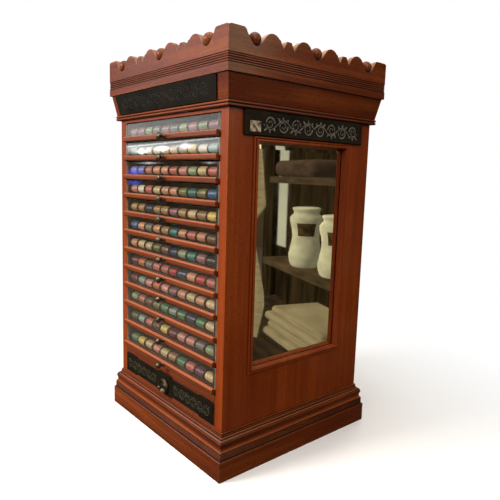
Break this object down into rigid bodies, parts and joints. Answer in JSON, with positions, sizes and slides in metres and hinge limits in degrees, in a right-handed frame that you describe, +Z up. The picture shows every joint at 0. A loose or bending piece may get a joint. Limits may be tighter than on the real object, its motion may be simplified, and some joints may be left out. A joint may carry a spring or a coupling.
{
  "type": "spool cabinet",
  "caption": "Counter-top cabinet with shallow glass-fronted drawers over a deep drawer, reeded mouldings, cut-out cresting with set balls and a mirror in one side.",
  "frame": {"origin": "middle of the plinth's footprint on the counter", "axes": "+X to the right of the drawer fronts, towards the side with the mirror; +Y from the drawer fronts to the back; +Z up"},
  "size_m": [0.4826, 0.4753, 0.8709],
  "materials": {
    "case_wood": "satin",
    "drawer_wood": "satin",
    "inner_wood": "matte",
    "back_wood": "matte",
    "turned_ball": "satin",
    "black_paint": "satin",
    "pane_glass": "gloss",
    "looking_glass": "gloss",
    "knob_metal": "satin",
    "pull_metal": "satin"
  },
  "bodies": {
    "cabinet": {"plinth": "case_wood", "base_moulding": "case_wood", "bead_moulding": "case_wood", "frieze": "case_wood", "crown_band": "case_wood", "crest_balls": "turned_ball", "side_right": "case_wood", "side_left": "case_wood", "back_panel": "back_wood", "floor_board": "inner_wood", "header_rail": "case_wood", "top_board": "inner_wood", "runners_left": "inner_wood", "runners_right": "inner_wood", "front_plate": "black_paint", "side_plate": "black_paint", "mirror_frame": "case_wood", "mirror": "looking_glass", "mirror_back": "inner_wood", "cresting_front_back": "case_wood", "cresting_sides": "case_wood"},
    "spool_drawer_01": {"drawer_01": "drawer_wood", "glass_01": "pane_glass", "knob_01": "knob_metal"},
    "spool_drawer_02": {"drawer_02": "drawer_wood", "glass_02": "pane_glass", "knob_02": "knob_metal"},
    "spool_drawer_03": {"drawer_03": "drawer_wood", "glass_03": "pane_glass", "knob_03": "knob_metal"},
    "spool_drawer_04": {"drawer_04": "drawer_wood", "glass_04": "pane_glass", "knob_04": "knob_metal"},
    "spool_drawer_05": {"drawer_05": "drawer_wood", "glass_05": "pane_glass", "knob_05": "knob_metal"},
    "spool_drawer_06": {"drawer_06": "drawer_wood", "glass_06": "pane_glass", "knob_06": "knob_metal"},
    "spool_drawer_07": {"drawer_07": "drawer_wood", "glass_07": "pane_glass", "knob_07": "knob_metal"},
    "spool_drawer_08": {"drawer_08": "drawer_wood", "glass_08": "pane_glass", "knob_08": "knob_metal"},
    "spool_drawer_09": {"drawer_09": "drawer_wood", "glass_09": "pane_glass", "knob_09": "knob_metal"},
    "spool_drawer_10": {"drawer_10": "drawer_wood", "glass_10": "pane_glass", "knob_10": "knob_metal"},
    "spool_drawer_11": {"drawer_11": "drawer_wood", "glass_11": "pane_glass", "knob_11": "knob_metal"},
    "spool_drawer_12": {"drawer_12": "drawer_wood", "glass_12": "pane_glass", "knob_12": "knob_metal"},
    "deep_drawer": {"drawer_13": "drawer_wood", "plaque": "black_paint", "pull": "pull_metal"}
  },
  "joints": [
    {"name": "spool_drawer_01_slide", "type": "slide", "parent": "cabinet", "child": "spool_drawer_01", "axis": [0, -1, 0], "range_m": [0, 0.3]},
    {"name": "spool_drawer_02_slide", "type": "slide", "parent": "cabinet", "child": "spool_drawer_02", "axis": [0, -1, 0], "range_m": [0, 0.3]},
    {"name": "spool_drawer_03_slide", "type": "slide", "parent": "cabinet", "child": "spool_drawer_03", "axis": [0, -1, 0], "range_m": [0, 0.3]},
    {"name": "spool_drawer_04_slide", "type": "slide", "parent": "cabinet", "child": "spool_drawer_04", "axis": [0, -1, 0], "range_m": [0, 0.3]},
    {"name": "spool_drawer_05_slide", "type": "slide", "parent": "cabinet", "child": "spool_drawer_05", "axis": [0, -1, 0], "range_m": [0, 0.3]},
    {"name": "spool_drawer_06_slide", "type": "slide", "parent": "cabinet", "child": "spool_drawer_06", "axis": [0, -1, 0], "range_m": [0, 0.3]},
    {"name": "spool_drawer_07_slide", "type": "slide", "parent": "cabinet", "child": "spool_drawer_07", "axis": [0, -1, 0], "range_m": [0, 0.3]},
    {"name": "spool_drawer_08_slide", "type": "slide", "parent": "cabinet", "child": "spool_drawer_08", "axis": [0, -1, 0], "range_m": [0, 0.3]},
    {"name": "spool_drawer_09_slide", "type": "slide", "parent": "cabinet", "child": "spool_drawer_09", "axis": [0, -1, 0], "range_m": [0, 0.3]},
    {"name": "spool_drawer_10_slide", "type": "slide", "parent": "cabinet", "child": "spool_drawer_10", "axis": [0, -1, 0], "range_m": [0, 0.3]},
    {"name": "spool_drawer_11_slide", "type": "slide", "parent": "cabinet", "child": "spool_drawer_11", "axis": [0, -1, 0], "range_m": [0, 0.3]},
    {"name": "spool_drawer_12_slide", "type": "slide", "parent": "cabinet", "child": "spool_drawer_12", "axis": [0, -1, 0], "range_m": [0, 0.3]},
    {"name": "deep_drawer_slide", "type": "slide", "parent": "cabinet", "child": "deep_drawer", "axis": [0, -1, 0], "range_m": [0, 0.3]}
  ]
}
